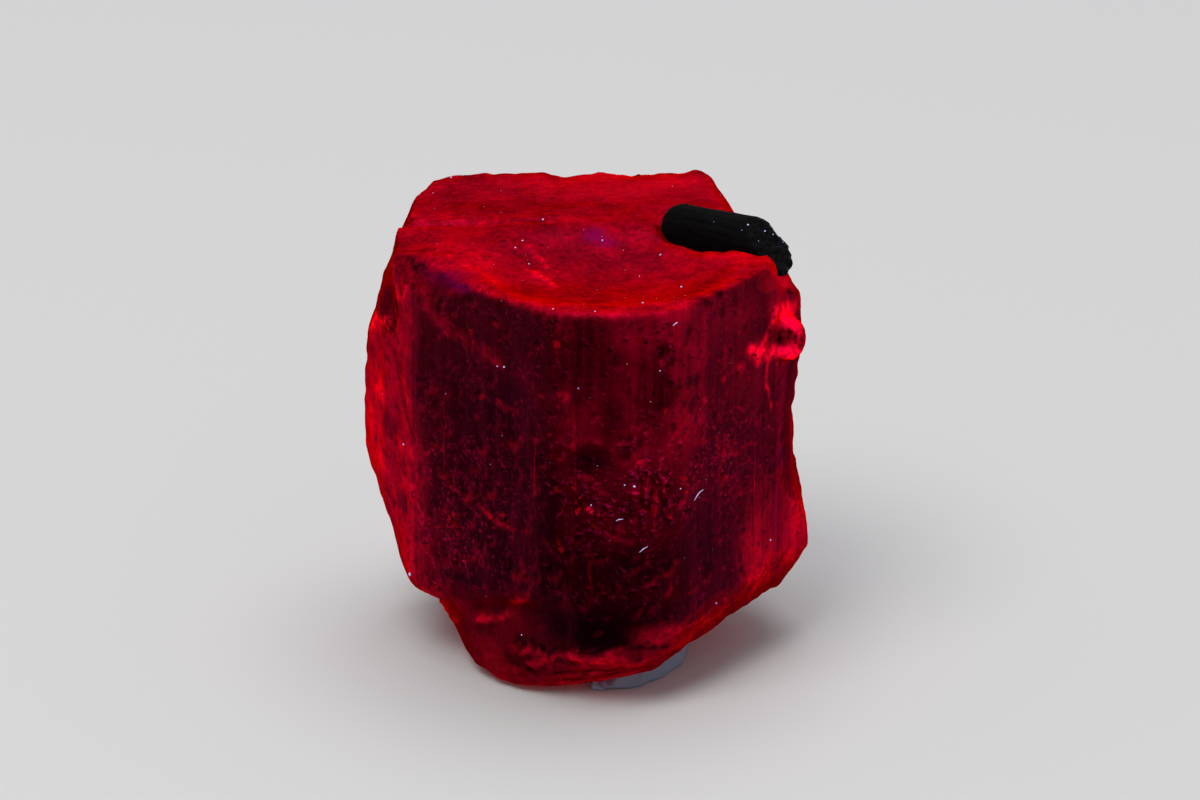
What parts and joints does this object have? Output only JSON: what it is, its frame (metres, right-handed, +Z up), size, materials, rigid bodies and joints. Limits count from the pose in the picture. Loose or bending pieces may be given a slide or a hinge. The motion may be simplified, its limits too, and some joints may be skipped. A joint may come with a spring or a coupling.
{
  "type": "scapolite crystal",
  "caption": "Stout broken prism of clear red-glowing scapolite with striated faces, a black mineral rod across one shoulder and a pinch of putty under its foot.",
  "frame": {"origin": "centre of the footprint of the whole part's box, on the surface it stands on", "axes": "+Z up along the crystal's c axis, -Y towards the striated front face, +X to the right seen from the front"},
  "size_m": [0.016, 0.0136, 0.0161],
  "materials": {
    "scapolite": "clear deep red, vitreous on the striated prism faces, frosted on the breaks",
    "black_mineral": "dull black, finely granular",
    "putty": "matt pale blue-grey, soft and thumbed"
  },
  "bodies": {
    "root": {"scapolite_crystal": "scapolite", "black_mineral_rod": "black_mineral", "putty_pad": "putty"}
  },
  "joints": []
}
